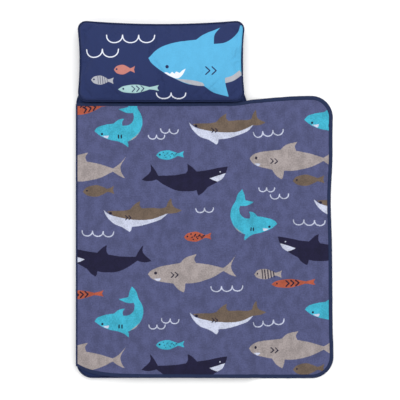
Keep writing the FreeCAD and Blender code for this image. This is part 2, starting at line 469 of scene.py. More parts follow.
cover_weave = woven("polycotton_plain_weave_navy", "#15244b")
piping_weave = woven("polycotton_bias_piping_navy", "#132046", roughness=0.75)
binding_tape = woven("polyester_woven_tape_navy", "#182547", roughness=0.7)
webbing = woven("polypropylene_webbing_navy", "#192240", 0.55, relief=0.5 * MM, cut=False)
hook_tape = woven("nylon_hook_tape_navy", "#1a2340", 0.6, relief=0.8 * MM, uneven=0.2, cut=False)
loop_tape = woven("nylon_loop_tape_navy", "#222d50", 0.95, relief=0.7 * MM, uneven=0.2, cut=False)

PILLOW_INKS = {
    "sky": "#53a6cf",
    "grey": "#a6a8b0",
    "coral": "#b7756d",
    "mint": "#a1c4c5",
    "white": "#dde1ec",
    "dark": "#1f2850",
}
PILLOW_GROUND = linear("#222e59")
printed_cotton = cloth_material(
    "polycotton_plain_weave_printed",
    lambda tree, place: sheen_and_tone_mottle(
        tree, place, inked(tree, place, PILLOW_GROUND, PILLOW_INKS, 0.15 * MM), 1.04, 0.96
    ),
    weave_height,
    0.2 * MM,
    roughness=0.8,
    sheen=0.05,
    sheen_tint="#b9c2de",
)
cotton_back = woven("polycotton_plain_weave_back", "#24305b")
print(len(bpy.data.materials), "materials")

# %% [markdown]
# ## The print
#
# The motifs are drawn here as a pattern designer would: plain outlines of sharks and fish of
# our own, in parts of their own length, nose to the left. A run of points is joined by a smooth
# curve, and where one run hands over to the next there is a sharp corner, as at the tip of a
# fin. Each motif is a list of marks: the ink, the points, and the stroke's width in
# millimetres, or none if the outline is filled.

# %% Drawing helpers
WAVE_STROKE = 3.4


def outline(*runs):
    """A closed outline of smooth runs with a corner where one run hands over to the next."""
    points = []
    corner = runs[-1][-1]
    for run in runs:
        points.extend(finer(np.array([corner, *run], float), 5)[:-1])
        corner = run[-1]
    return np.array(points)


def dot(ink, x, y, width):
    return (ink, np.array([(x, y), (x + 0.001, y)]), width)


def chevrons(ink, x, y, size, count, width):
    """Small arrow marks that point away from the nose."""
    made = []
    for number in range(count):
        left = x + number * size * 0.85
        points = [(left, y + size / 2), (left + size * 0.55, y), (left, y - size / 2)]
        made.append((ink, np.array(points), width))
    return made


def scallops(count, depth=0.5):
    """A hand-drawn wave: hanging arcs that meet in small peaks; depth is how far they hang."""
    turn = np.linspace(0, math.pi, 10)
    across = (np.arange(count)[:, None] + 0.5 - np.cos(turn) / 2) / count - 0.5
    down = np.tile(-depth * np.sin(turn) ** 0.85 / count, (count, 1))
    return [("white", np.stack([across.ravel(), down.ravel()], axis=1), WAVE_STROKE)]


print("a wave of 3 scallops has", len(scallops(3)[0][1]), "points")

# %% Sharks


def cruiser(ink):
    """A straight grey shark."""
    body = outline(
        [(-0.457, 0.045), (-0.364, 0.08), (-0.24, 0.10), (-0.13, 0.115)],
        [(-0.06, 0.175), (0.06, 0.21)],
        [(0.03, 0.16), (0.045, 0.11)],
        [(0.20, 0.085), (0.345, 0.045)],
        [(0.42, 0.10), (0.49, 0.185)],
        [(0.442, 0.10), (0.430, 0.05), (0.448, -0.01), (0.488, -0.062)],
        [(0.41, -0.03), (0.345, 0.01)],
        [(0.20, -0.065), (0.03, -0.11), (-0.085, -0.115)],
        [(-0.09, -0.165), (-0.105, -0.215)],
        [(-0.17, -0.175), (-0.22, -0.11)],
        [(-0.38, -0.08), (-0.457, -0.045), (-0.50, 0.004)],
    )
    smile = outline([(-0.40, -0.047), (-0.35, -0.048)], [(-0.385, -0.078), (-0.44, -0.047)])
    gills = chevrons("dark", -0.237, -0.015, 0.055, 2, 3.6)
    return [(ink, body, None), ("white", smile, None), dot("dark", -0.412, 0.012, 9.5), *gills]


def biter(ink):
    """A dark shark with an open mouth and a swept fin."""
    body = outline(
        [(-0.40, 0.145), (-0.26, 0.115), (-0.15, 0.10)],
        [(-0.095, 0.155), (-0.04, 0.19)],
        [(-0.045, 0.12), (-0.025, 0.08)],
        [(0.11, 0.058), (0.297, 0.052)],
        [(0.335, 0.12), (0.39, 0.194)],
        [(0.387, 0.10), (0.486, 0.004)],
        [(0.42, -0.012), (0.355, -0.005), (0.316, 0.008)],
        [(0.21, -0.064), (0.075, -0.122), (-0.08, -0.128), (-0.15, -0.115)],
        [(-0.155, -0.15), (-0.168, -0.178)],
        [(-0.225, -0.14), (-0.27, -0.085)],
        [(-0.36, -0.035), (-0.43, 0.015), (-0.475, 0.08), (-0.50, 0.16)],
    )
    mouth = outline(
        [(-0.475, 0.082)], [(-0.44, 0.02), (-0.386, -0.016)], [(-0.34, 0.0), (-0.293, 0.022)]
    )
    gills = []
    for x in (-0.225, -0.19, -0.155):
        curve = finer(np.array([(x, 0.045), (x - 0.01, 0.02), (x, -0.005)]), 3)
        gills.append(("beige", curve, 1.8))
    return [(ink, body, None), ("white", mouth, None), dot("white", -0.414, 0.097, 4.6), *gills]


def smiler(ink):
    """A shark with a wide pale belly, its tail as high as its head."""
    back = outline(
        [(-0.37, 0.052), (-0.24, 0.055), (-0.165, 0.07)],
        [(-0.10, 0.135), (-0.03, 0.18)],
        [(-0.035, 0.12), (-0.01, 0.085)],
        [(0.12, 0.09), (0.235, 0.085), (0.30, 0.10)],
        [(0.32, 0.16), (0.36, 0.212)],
        [(0.39, 0.11), (0.50, 0.058)],
        [(0.42, 0.025), (0.327, 0.018)],
        [(0.15, -0.055), (0.015, -0.075), (-0.16, -0.07), (-0.31, -0.045), (-0.47, 0.045)],
    )
    belly = outline(
        [
            (-0.43, 0.005), (-0.31, -0.03), (-0.16, -0.055),
            (0.015, -0.062), (0.15, -0.045), (0.327, 0.024),
        ],
        [(0.25, -0.045), (0.168, -0.082), (-0.01, -0.135), (-0.14, -0.15)],
        [(-0.145, -0.19), (-0.165, -0.217)],
        [(-0.22, -0.18), (-0.27, -0.152)],
        [(-0.38, -0.107), (-0.465, -0.018), (-0.508, 0.07)],
    )
    gills = chevrons("dark", -0.222, -0.035, 0.052, 2, 3.4)
    return [(ink, back, None), ("white", belly, None), dot("dark", -0.418, 0.02, 9.0), *gills]


def curler(ink):
    """A bright shark that curls its tail up over its back."""
    body = outline(
        [(-0.40, -0.115), (-0.24, -0.065), (-0.08, -0.04)],
        [(0.02, 0.035), (0.135, 0.06)],
        [(0.09, -0.01), (0.095, -0.085)],
        [(0.20, -0.075), (0.29, -0.01), (0.32, 0.09), (0.305, 0.17)],
        [(0.18, 0.17), (0.0, 0.245)],
        [(0.11, 0.262), (0.20, 0.285)],
        [(0.22, 0.39), (0.265, 0.50)],
        [(0.35, 0.40), (0.392, 0.26)],
        [(0.47, 0.12), (0.49, -0.03), (0.44, -0.19), (0.33, -0.33), (0.19, -0.40)],
        [(0.205, -0.45), (0.205, -0.515)],
        [(0.11, -0.44), (0.0, -0.395)],
        [(-0.17, -0.36), (-0.34, -0.29), (-0.47, -0.19)],
    )
    smile = outline([(-0.25, -0.285), (-0.18, -0.275)], [(-0.21, -0.335), (-0.325, -0.285)])
    belly = outline([(0.36, -0.28), (0.44, -0.17)], [(0.35, -0.315), (0.20, -0.395)])
    gills = [("dark", np.array([(x, -0.27), (x, -0.325)]), 4.6) for x in (0.015, 0.07)]
    marks = [(ink, body, None), ("beige", belly, None), ("white", smile, None)]
    return [*marks, dot("dark", -0.315, -0.248, 7.5), *gills]


print("sharks drawn:", ", ".join(shark.__name__ for shark in (cruiser, biter, smiler, curler)))

# %% Fish


def fish(ink, half_height, decoration="none", mark_width=4.5):
    """A small fish; its height and the marks on its body make the different kinds."""
    h = half_height
    top = [(-0.36, 0.72 * h), (-0.08, h), (0.14, 0.62 * h), (0.27, 0.26 * h)]
    under = [(x, -y) for x, y in top[::-1]]
    body = outline(
        top,
        [(0.39, 0.45 * h), (0.50, 0.75 * h)],
        [(0.46, 0.0), (0.50, -0.75 * h)],
        [(0.39, -0.45 * h), under[0]],
        [*under[1:], (-0.5, 0.0)],
    )
    marks = [(ink, body, None), dot("dark", -0.37, 0.1 * h, 6.0)]
    if decoration == "spots":
        for number in range(13):
            x = -0.24 + 0.04 * number
            y = (0.55, -0.1, -0.6, 0.2)[number % 4] * h * (1 - 0.055 * number)
            marks.append(dot("dark", x, y, mark_width))
    if decoration == "stripes":
        for x in np.linspace(-0.2, 0.2, 5):
            reach = h * (0.84 - 1.6 * max(x, 0))
            marks.append(("dark", np.array([(x, reach), (x + 0.035, -reach)]), mark_width))
    if decoration == "chevrons":
        marks.extend(chevrons("dark", -0.16, 0.0, 0.13, 3, mark_width))
    return marks


print("a striped fish has", len(fish("beige", 0.165, "stripes")), "marks")

# %% [markdown]
# ### From outlines to fields
#
# A picture of the print would need an image file. Instead each point of the cloth keeps, for
# every ink, how far it is from the nearest outline of that ink, with a minus sign inside. The
# material turns that number into a crisp edge, however coarse the grid is.

# %% Distances on the flat cloth
FAR = 30 * MM


def distance_to(points, shape, stroke):
    """Signed distance to a filled outline, or to a stroke of that width along the points."""
    start, end = (shape[:-1], shape[1:]) if stroke else (shape, np.roll(shape, -1, axis=0))
    edge = end - start
    offset = points[:, None] - start
    along = np.clip((offset * edge).sum(axis=2) / (edge**2).sum(axis=1), 0, 1)
    distance = np.linalg.norm(offset - along[..., None] * edge, axis=2).min(axis=1)
    if stroke:
        return distance - stroke / 2
    above = (start[:, 1] > points[:, 1:]) != (end[:, 1] > points[:, 1:])
    rise = np.where(edge[:, 1] == 0, 1, edge[:, 1])
    left_of = points[:, :1] < start[:, 0] + (points[:, 1:] - start[:, 1]) / rise * edge[:, 0]
    inside = (above & left_of).sum(axis=1) % 2 == 1
    return np.where(inside, -distance, distance)


def stamp(fields, flat, marks, across, along, length, turn=0.0, mirrored=False):
    """Prints one motif on the cloth, centred at across, along, and as long as length."""
    angle = math.radians(turn)
    rotation = np.array([[math.cos(angle), math.sin(angle)], [-math.sin(angle), math.cos(angle)]])
    for ink, points, width in marks:
        shape = points * (-1 if mirrored else 1, 1) @ rotation * length + (across, along)
        stroke = width * MM if width else None
        near = ((flat > shape.min(axis=0) - FAR) & (flat < shape.max(axis=0) + FAR)).all(axis=1)
        if near.any():
            distance = distance_to(flat[near], shape, stroke)
            fields[ink][near] = np.minimum(fields[ink][near], distance)


def empty_fields(inks, count):
    return {ink: np.full(count, FAR) for ink in inks}


print("fields reach", FAR / MM, "mm from an outline")

# %% [markdown]
# ### The blanket's repeat
#
# A printed fabric repeats. This one comes back every 606 mm along the cloth and every 675 mm
# across it, and the cloth was laid slightly askew, so a repeat to the right also sits 35 mm
# higher. One repeat holds all the motifs, each with its place in millimetres from the seam and
# from the foot edge, its length, and its turn. At the head end of the seam the cloth is eased
# round its corner, and the orange fish there sits lower and turned.

# %% One repeat of the blanket's print
REPEAT_ACROSS = 675
REPEAT_ALONG = 606
REPEAT_RISE = 35

long_fish = fish("orange", 0.1, "chevrons", 4.4)
blanket_motifs = [
    (curler("teal"), 133, 216, 161, 0, False),
    (scallops(2), 255, 173, 52, 0, False),
    (scallops(2), 297, 192, 56, -4, False),
    (smiler("brown"), 485, 197, 251, 0, False),
    (scallops(3), 616, 185, 100, 6, False),
    (fish("teal", 0.17, "spots", 3.6), 297, 110, 90, 2, False),
    (cruiser("beige"), 17, 57, 286, -2, False),
    (biter("indigo"), 341, 29, 275, 0, True),
    (fish("brown", 0.185), 69, -5, 101, 3, False),
    (smiler("brown"), 210, 524, 251, 0, False),
    (scallops(2), 406, 546, 56, 2, False),
    (curler("teal"), 567, 526, 161, 0, True),
    (scallops(2), 610, 611, 52, 0, False),
    (scallops(2), 651, 590, 58, 3, False),
    (scallops(3), 67, 472, 99, -2, False),
    (fish("orange", 0.18, "spots", 5.4), 386, 455, 88, 2, False),
    (biter("indigo"), 106, 376, 275, 0, False),
    (cruiser("beige"), 369, 339, 286, 2, False),
    (fish("beige", 0.18, "stripes", 3.8), 611, 334, 93, 0, False),
    (long_fish, 18, 270, 139, 3, False),
    (scallops(3), 477, 297, 100, 2, False),
]


def print_blanket(flat):
    """The ink fields at every point of the flat blanket, measured from seam and foot edge."""
    fields = empty_fields(BLANKET_INKS, len(flat))
    for marks, across, along, length, turn, mirrored in blanket_motifs:
        for side in (0, 1):
            for up in (-1, 0, 1):
                x = (across + side * REPEAT_ACROSS) * MM
                y = (along + side * REPEAT_RISE + up * REPEAT_ALONG) * MM
                stamp(fields, flat, marks, x, y, length * MM, turn, mirrored)
    stamp(fields, flat, long_fish, 44 * MM, 864 * MM, 139 * MM, 14)
    return fields


print(len(blanket_motifs), "motifs in one repeat")

# %% [markdown]
# ### The pillow's print
#
# The pillow cover is cut from a larger print of the same family, placed so that one big shark
# fills its right half. Its places are in millimetres from the middle of the pillow.

# %% The big shark and the pillow's small motifs


def big_shark():
    body = outline(
        [(-17, 36), (15, 53), (59, 64), (110, 70)],
        [(138, 90), (188, 111)],
        [(170, 88), (167, 56)],
        [(200, 60), (226, 75), (246, 98), (253, 120)],
        [(300, 120)],
        [(300, -40)],
        [(252, -44), (232, -60), (204, -69)],
        [(209, -88), (216, -111)],
        [(168, -98), (136, -78)],
        [(85, -72), (46, -57), (8, -37), (-30, -9), (-43, 10)],
    )
    belly = outline(
        [(75, -58), (108, -62), (131, -68)],
        [(136, -77), (108, -76), (72, -67), (44, -56)],
    )
    flank = outline(
        [(228, -44), (250, -26)],
        [(262, -38)],
        [(232, -60), (204, -69)],
        [(203, -53)],
    )
    smile = outline(
        [(66, -30), (57, -38)],
        [(51, -35), (46, -33)],
        [(41, -40)],
        [(33, -34)],
        [(26, -41)],
        [(17, -36), (6, -36)],
        [(27, -48), (50, -55), (66, -44), (77, -24)],
    )
    gills = chevrons("dark", 141, -30, 24, 2, 4.0)
    marks = [("sky", body, None), ("grey", belly, None), ("grey", flank, None)]
    return [*marks, ("white", smile, None), dot("dark", 17, -18, 11.0), *gills]


pillow_motifs = [
    (big_shark(), 0, 0, 1, 0, False),
    (scallops(3), -101, 86, 155, 0, False),
    (scallops(2), -191, 39, 104, 0, False),
    (scallops(2, 0.36), 29, -99, 95, 0, False),
    (fish("coral", 0.226), -120, -27, 68, 0, False),
    (fish("grey", 0.19, "stripes", 2.2), -192, -60, 74, -3, False),
    (fish("mint", 0.096, "chevrons", 3.0), -76, -86, 133, 2, False),
]
CROWN_SHIFT = np.array([3.4, -5.5]) * MM
CROWN_SCALE = 0.975


def print_pillow(flat):
    """The ink fields at every point of the pillow front, measured from its middle."""
    fields = empty_fields(PILLOW_INKS, len(flat))
    print_place = (flat - CROWN_SHIFT) / CROWN_SCALE
    for marks, across, along, length, turn, mirrored in pillow_motifs:
        stamp(fields, print_place, marks, across * MM, along * MM, length * MM, turn, mirrored)
    return fields


print(len(pillow_motifs), "motifs on the pillow")

# %% [markdown]
# ## The mat
#
# The mat is a long pad of polyester wadding in a navy cover, with a piping sewn all round
# between its top and its underside. Wadding presses the cover out, so the mat is flat in the
# middle and turns down to the seam in a soft roll about 13 mm wide. A box with rounded edges
# would look like board. Here the height of each point comes from its distance to the rounded
# outline, so the roll runs round the corners evenly, and the sewn edge gets small puckers.

# %% Shared shapes: random ripples, a rounded outline and a tube
CORNER_RADIUS = 46 * MM


def ripples(across, along, size, seed, waves=12):
    """Smooth random heights, mostly between -1 and 1, with bumps about as wide as size."""
    random = np.random.default_rng(seed)
    total = np.zeros(np.broadcast(across, along).shape)
    for direction, phase, stretch in random.uniform((0, 0, 0.6), (6.283, 6.283, 1.5), (waves, 3)):
        pace = math.pi / (size * stretch)
        total += np.sin(pace * (across * math.cos(direction) + along * math.sin(direction)) + phase)
    return total * math.sqrt(1 / waves)


def inside_distance(across, along, low, high, radius):
    """How far a point lies inside a rectangle with rounded corners."""
    middle, half = (low[:2] + high[:2]) / 2, (high[:2] - low[:2]) / 2
    over_x = np.abs(across - middle[0]) - (half[0] - radius)
    over_y = np.abs(along - middle[1]) - (half[1] - radius)
    beyond = np.hypot(np.maximum(over_x, 0), np.maximum(over_y, 0))
    return radius - beyond - np.minimum(np.maximum(over_x, over_y), 0)


def tube(path, radius, closed, around=14):
    """Points and faces of a round tube along a path, and their place on the flat tape."""
    if closed:
        along = np.roll(path, -1, axis=0) - np.roll(path, 1, axis=0)
    else:
        along = np.gradient(path, axis=0)
    along /= np.linalg.norm(along, axis=1, keepdims=True)
    side = np.cross(along, (0, 0, 1))
    side /= np.linalg.norm(side, axis=1, keepdims=True)
    turn = np.linspace(0, math.tau, around, endpoint=False)
    upward = np.cross(side, along)
    ring = np.cos(turn)[:, None] * side[:, None] + np.sin(turn)[:, None] * upward[:, None]
    points = path[:, None] + radius * ring
    gone = np.concatenate([[0], np.cumsum(np.linalg.norm(np.diff(path, axis=0), axis=1))])
    flat = np.stack(np.broadcast_arrays(gone[:, None], radius * turn, 0 * turn), axis=2)
    count = len(path)
    start = np.arange(count if closed else count - 1)[:, None] * around
    step = np.arange(around)
    quads = np.stack(
        [
            start + step,
            start + (step + 1) % around,
            (start + around) % (count * around) + (step + 1) % around,
            (start + around) % (count * around) + step,
        ],
        axis=2,
    ).reshape(-1, 4)
    return points.reshape(-1, 3), quads, flat.reshape(-1, 3)


def rounded_path(low, high, radius, z, step):
    """A closed path round a rectangle with rounded corners, with a point every step or so."""
    points = []
    centres_x, centres_y = (low[0] + radius, high[0] - radius), (low[1] + radius, high[1] - radius)
    corners = [(1, 0, -90), (1, 1, 0), (0, 1, 90), (0, 0, 180)]
    for right, top, angle in corners:
        for turn in np.radians(np.linspace(angle, angle + 90, 13)):
            x = centres_x[right] + radius * math.cos(turn)
            points.append((x, centres_y[top] + radius * math.sin(turn)))
    points.append(points[0])
    path = []
    for start, end in zip(points, points[1:]):
        parts = max(1, round(math.dist(start, end) / step))
        path.extend(np.linspace(start, end, parts, endpoint=False))
    return np.column_stack([path, np.full(len(path), z)])


print("ripples at one point:", round(float(ripples(0.1, 0.2, 0.05, 1)), 3))

# %% The mat's cover as one closed sheet
SEAM_HEIGHT = 11 * MM
ROLL_WIDTH = 13 * MM
ROLL_SHAPE = 2.4
UNDERSIDE = 1.9 * MM
EDGE_STEPS = np.array([0, 0.4, 1.5, 3, 5, 8, 12, 17, 24, 32, 40, 46]) * MM


def head_taper(along):
    """The cover is pulled in a little on each side where the pillow presses on it."""
    share = np.clip((along - fold_y[-1]) / (45 * MM), 0, 1)
    return 12 * MM * share * share * (3 - 2 * share)


def with_dense_ends(length, step):
    """Distances from nought to length, close together at both ends."""
    inner = np.arange(EDGE_STEPS[-1] + step, length / 2, step)
    half = np.concatenate([EDGE_STEPS, inner])
    return np.concatenate([half, length - half[::-1]])


mat_rows = mat_low[1] + with_dense_ends(mat_high[1] - mat_low[1], 4 * MM)
from_end = np.minimum(mat_rows - mat_low[1], mat_high[1] - mat_rows)
short_of = np.clip(CORNER_RADIUS - from_end, 0, None)
inset = CORNER_RADIUS - np.sqrt(CORNER_RADIUS**2 - short_of**2) + head_taper(mat_rows)
steps = with_dense_ends(mat_high[0] - mat_low[0], 6 * MM)
share = (steps - EDGE_STEPS[-1]) / (steps[-1] - 2 * EDGE_STEPS[-1])
share = np.clip(share, 0, 1)
left, right = mat_low[0] + inset, mat_high[0] - inset
near_left = np.minimum(steps, EDGE_STEPS[-1])
near_right = np.minimum(steps[-1] - steps, EDGE_STEPS[-1])
mat_x = (left[:, None] + near_left) * (1 - share) + (right[:, None] - near_right) * share
mat_y = np.broadcast_to(mat_rows[:, None], mat_x.shape)

untapered_x = mat_x + head_taper(mat_y) * np.sign(mat_x - (mat_low[0] + mat_high[0]) / 2)
depth = np.clip(inside_distance(untapered_x, mat_y, mat_low, mat_high, CORNER_RADIUS), 0, None)
roll = (1 - (1 - np.clip(depth / ROLL_WIDTH, 0, 1)) ** ROLL_SHAPE) ** (1 / ROLL_SHAPE)
pucker = np.exp(-depth / (9 * MM)) * roll
wave = 0.7 * MM * ripples(mat_x, mat_y, 85 * MM, 3) * np.clip(depth / (40 * MM), 0, 1)
tuck = 1.1 * MM * ripples(mat_x, mat_y, 9 * MM, 4) * pucker
top_z = SEAM_HEIGHT + (mat_high[2] - 0.7 * MM - SEAM_HEIGHT) * roll + wave - np.abs(tuck)
top_z = np.minimum(top_z, mat_high[2])
under_z = SEAM_HEIGHT - (SEAM_HEIGHT - UNDERSIDE) * roll + np.abs(tuck)

mat_grid = np.stack([mat_x, mat_y, top_z], axis=2)
under_grid = np.stack([mat_x, mat_y, under_z], axis=2)
mat_points = np.concatenate([mat_grid.reshape(-1, 3), under_grid.reshape(-1, 3)])
_, joined = sewn_rim(mat_x.shape)
mat_faces = joined[both_sides(mat_x.shape)]
mat_flat = mat_points * (1, 1, 0)
mat_cover = pieces_over_folds(
    "mat_cover", panel_middles[:4], mat_points, mat_faces, [cover_weave],
    fields={"flat": mat_flat},
)

# %% [markdown]
# The piping is a cord wrapped in a bias-cut strip. It stands proud of the seam all round. It is
# a tube swept along the mat's outline, cut with the cover.

# %% Piping round the mat
PIPING_RADIUS = 3.5 * MM
PIPING_SUNK = 1 * MM

piping_out = np.array([PIPING_RADIUS - PIPING_SUNK, PIPING_RADIUS - PIPING_SUNK, 0])
piping_path = rounded_path(
    mat_low - piping_out,
    mat_high + piping_out,
    CORNER_RADIUS + piping_out[0],
    SEAM_HEIGHT,
    5 * MM,
)
towards = np.sign(piping_path[:, 0] - (mat_low[0] + mat_high[0]) / 2)
piping_path[:, 0] -= towards * head_taper(piping_path[:, 1])
points, faces, flat = tube(piping_path, PIPING_RADIUS, closed=True)
mat_piping = pieces_over_folds(
    "mat_piping", panel_middles[:4], points, faces, [piping_weave],
    fields={"flat": flat},
)

# %% [markdown]
# A second piping hides the seam that joins the blanket to the mat. Its middle lies on the axis
# that the blanket turns about, so it covers the sewn edge whether the blanket is shut or open.
# A flat flange of the same cloth runs from it down to the mat's top, where it is sewn on.

# %% Piping along the blanket seam
SEAM_PIPING_RADIUS = 3 * MM
FLANGE_THICKNESS = 1.2 * MM

SEAM_FOOT_END = 42 * MM
SEAM_HEAD_END = 22 * MM

seam_x, seam_z = seam_hinge[0], seam_hinge[2]
seam_y = np.arange(cloth_low[1] + SEAM_FOOT_END, cloth_high[1] - SEAM_HEAD_END, 5 * MM)
seam_path = np.column_stack([np.full(len(seam_y), seam_x), seam_y, np.full(len(seam_y), seam_z)])
points, faces, flat = tube(seam_path, SEAM_PIPING_RADIUS, closed=False)

flange_top = np.array([(16, -2.4), (11, -1.2), (6, 0.2), (0, 1.0)]) * MM
flange = np.concatenate([flange_top, flange_top[::-1] - (0, FLANGE_THICKNESS)])
ring_size = len(flange)
section = np.column_stack([flange[:, 0], 0 * flange[:, 0], flange[:, 1]])
strip = (seam_path[:, None] + section).reshape(-1, 3)
start = len(points) + np.arange(len(seam_path) - 1)[:, None] * ring_size
step, after = np.arange(ring_size), (np.arange(ring_size) + 1) % ring_size
strip_faces = np.stack(
    [start + step, start + ring_size + step, start + ring_size + after, start + after], axis=2
)
points = np.concatenate([points, strip])
faces = np.concatenate([faces, strip_faces.reshape(-1, 4)])
flat = np.concatenate([flat, strip * (1, 1, 0)])
pieces_over_folds(
    "seam_piping", panel_middles[:3], points, faces, [piping_weave],
    fields={"flat": flat},
)

# %% [markdown]
# ## The blanket
#
# The blanket is one sheet of plush fleece, sewn to the mat along its left edge. It lies on the
# mat, drops over the mat's right edge and carries on over the floor. A sheet bent by hand looks
# like card at the drop, so the cloth simulation lays it: the grid starts a little above the mat
# and floor, its left column is held by the seam, and gravity does the rest. The start shape has
# faint random waves, so the cloth has a little more length than it needs and keeps soft ripples.

# %% The blanket's flat cut
BINDING_WIDTH = 12 * MM
CLOTH_CORNER = 68 * MM
DROP_SLACK = 4 * MM
FOOT_RETREAT = 38 * MM
FOOT_CURVE = 55 * MM
SIDE_WAIST = 12 * MM
WAIST_MIDDLE, WAIST_SPREAD = 0.5, 0.25
HEAD_PLACES = [0, 530, 585, 636, 687, 740]  # mm from the seam
HEAD_DIPS = [20, 19, 13, 8, 4, 2]  # mm below a straight head edge
HALF_THICKNESS = 1.75 * MM

cut_width = cloth_high[0] - seam_x + DROP_SLACK
cut_length = cloth_high[1] - cloth_low[1]
columns = np.append(np.linspace(0, cut_width - BINDING_WIDTH, 82), cut_width)
inner_rows = np.linspace(BINDING_WIDTH, cut_length - BINDING_WIDTH, 88)
rows = np.concatenate([[0], inner_rows, [cut_length]])
cut_s, cut_v = np.meshgrid(columns, rows)


def rounded_corner(s, v, low_s, corner_v, sign):
    """Moves the points of a square corner into a quarter disc, ring by ring."""
    a, b = (s - low_s) / CLOTH_CORNER, sign * (v - corner_v) / CLOTH_CORNER
    inside = (a > 0) & (b > 0)
    reach = np.maximum(a, b)
    small = np.minimum(a, b) / np.where(inside, reach, 1)
    angle = np.where(a >= b, small, 2 - small) * math.pi / 4
    new_s = low_s + CLOTH_CORNER * reach * np.cos(angle)
    new_v = corner_v + sign * CLOTH_CORNER * reach * np.sin(angle)
    return np.where(inside, new_s, s), np.where(inside, new_v, v)


corner_s = cut_width - CLOTH_CORNER
cut_s, cut_v = rounded_corner(cut_s, cut_v, corner_s, CLOTH_CORNER, -1)
cut_s, cut_v = rounded_corner(cut_s, cut_v, corner_s, cut_length - CLOTH_CORNER, 1)
on_mat = np.clip((600 * MM - cut_s) / (60 * MM), 0, 1)
foot_line = FOOT_RETREAT * np.exp(-cut_s / FOOT_CURVE) + 3.5 * MM * on_mat
head_dip = MM * np.interp(cut_s / MM, HEAD_PLACES, HEAD_DIPS)
along = cut_v / cut_length
cut_v = cut_v + foot_line * (1 - along) ** 3 - head_dip * along**3
waist = bulge(along, WAIST_MIDDLE, WAIST_SPREAD)
cut_s = cut_s - SIDE_WAIST * waist * (cut_s / cut_width) ** 4
print("blanket cut", round(cut_width, 3), "x", round(cut_length, 3), "m")

# %% Laying the blanket with the cloth simulation
MAT_EDGE = mat_high[0] + 4 * MM
DROP_RUN = 55 * MM
RAMP_RUN = 0.7 * DROP_RUN
MID_ON_MAT = mat_high[2] + 2.2 * MM
MID_ON_FLOOR = 2.3 * MM


def laid_by_hand(s, v):
    """The start shape: flat on the mat, a slope, flat on the floor, with faint waves."""
    to_edge = MAT_EDGE - seam_x
    drop = MID_ON_MAT - MID_ON_FLOOR
    sloped = math.hypot(DROP_RUN, drop)
    gone = np.clip((s - to_edge) / sloped, 0, 1)
    on_floor = np.maximum(s - to_edge - sloped, 0)
    x = seam_x + np.where(s < to_edge, s, to_edge + gone * DROP_RUN + on_floor)
    z = MID_ON_MAT - drop * gone
    free = np.clip(s / (60 * MM), 0, 1)
    lift = 3.2 * MM * (ripples(s, v, 120 * MM, 11) + 0.6 * ripples(s, v, 55 * MM, 12))
    z = z + (2.5 * MM + lift) * free
    slide = 1.5 * MM * ripples(s, v, 160 * MM, 13) * free
    return np.stack([x + slide, cloth_low[1] + v, np.maximum(z, MID_ON_FLOOR)], axis=2)


def bed_to_land_on():
    """One unbroken surface for the cloth: the mat's top, a ramp beside it, then the floor.

    A block on a separate floor would leave a thin wedge between them that traps the cloth.
    """
    top, floor = mat_high[2] - 1 * MM, -0.5 * MM
    edge = mat_high[0] + 3 * MM
    profile = [(-0.5, top), (edge, top), (edge + RAMP_RUN, floor), (0.8, floor)]
    corners = np.array([(x, y, z) for x, z in profile for y in (-0.8, 0.8)])
    faces = np.array([(0, 2, 3, 1), (2, 4, 5, 3), (4, 6, 7, 5)])
    bed = cloth_object("bed", corners, faces, [])
    bed.modifiers.new("hit", "COLLISION")
    bed.collision.thickness_outer = 1 * MM
    bed.collision.cloth_friction = 12
    return bed


def make_cloth(piece, sewn, mass, air, stretch, bending):
    """Turns a mesh into cloth that is held at the sewn points, and gives the modifier."""
    held = piece.vertex_groups.new(name="held")
    held.add(np.flatnonzero(sewn).tolist(), 1.0, "REPLACE")
    cloth = piece.modifiers.new("cloth", "CLOTH")
    cloth.settings.vertex_group_mass = "held"
    cloth.settings.quality = 6
    cloth.settings.mass = mass
    cloth.settings.air_damping = air
    cloth.settings.tension_stiffness = cloth.settings.compression_stiffness = stretch
    cloth.settings.bending_stiffness = bending
    return cloth


def simulate(piece, frames):
    """Runs the scene to the last frame and gives the settled points; the piece is removed."""
    scene = bpy.context.scene
    for number in range(1, frames + 1):
        scene.frame_set(number)
    settled = piece.evaluated_get(bpy.context.evaluated_depsgraph_get())
    points = np.empty(3 * len(settled.data.vertices))
    settled.data.vertices.foreach_get("co", points)
    scene.frame_set(1)
    bpy.data.objects.remove(piece)
    return points.reshape(-1, 3)


blanket_grid = laid_by_hand(cut_s, cut_v)
faces = grid_faces(*cut_s.shape)
falling = cloth_object("falling", blanket_grid.reshape(-1, 3), faces, [])
cloth = make_cloth(falling, cut_s.ravel() < 1 * MM, mass=0.05, air=4, stretch=12, bending=1.2)
cloth.collision_settings.distance_min = HALF_THICKNESS
bed = bed_to_land_on()
blanket_grid = simulate(falling, 40).reshape(blanket_grid.shape)
bpy.data.objects.remove(bed)
print("blanket's highest point", round(float(blanket_grid[..., 2].max()), 4), "m")

# %% [markdown]
# Once a blanket lies, a hand pulls its free edges straight. The same is done here: the head edge
# beside the pillow goes up a little, and the right edge goes out, most in the middle. The pull
# fades away from the edge, so no ripple is torn.

# %% Straightening the free edges
HEAD_PULL = 6.5 * MM
SIDE_PULL = 4 * MM
MID_PULL = 8 * MM
PULL_MIDDLE, PULL_SPREAD = 0.47, 0.17

beside_pillow = np.clip((cut_s - 500 * MM) / (60 * MM), 0, 1)
blanket_grid[..., 1] += HEAD_PULL * along**8 * beside_pillow
side_pull = SIDE_PULL + MID_PULL * bulge(along, PULL_MIDDLE, PULL_SPREAD)
blanket_grid[..., 0] += side_pull * (cut_s / cut_width) ** 4
lowest, highest = blanket_grid.min(axis=(0, 1)), blanket_grid.max(axis=(0, 1))
print("blanket from", np.round(lowest, 4), "to", np.round(highest, 4))

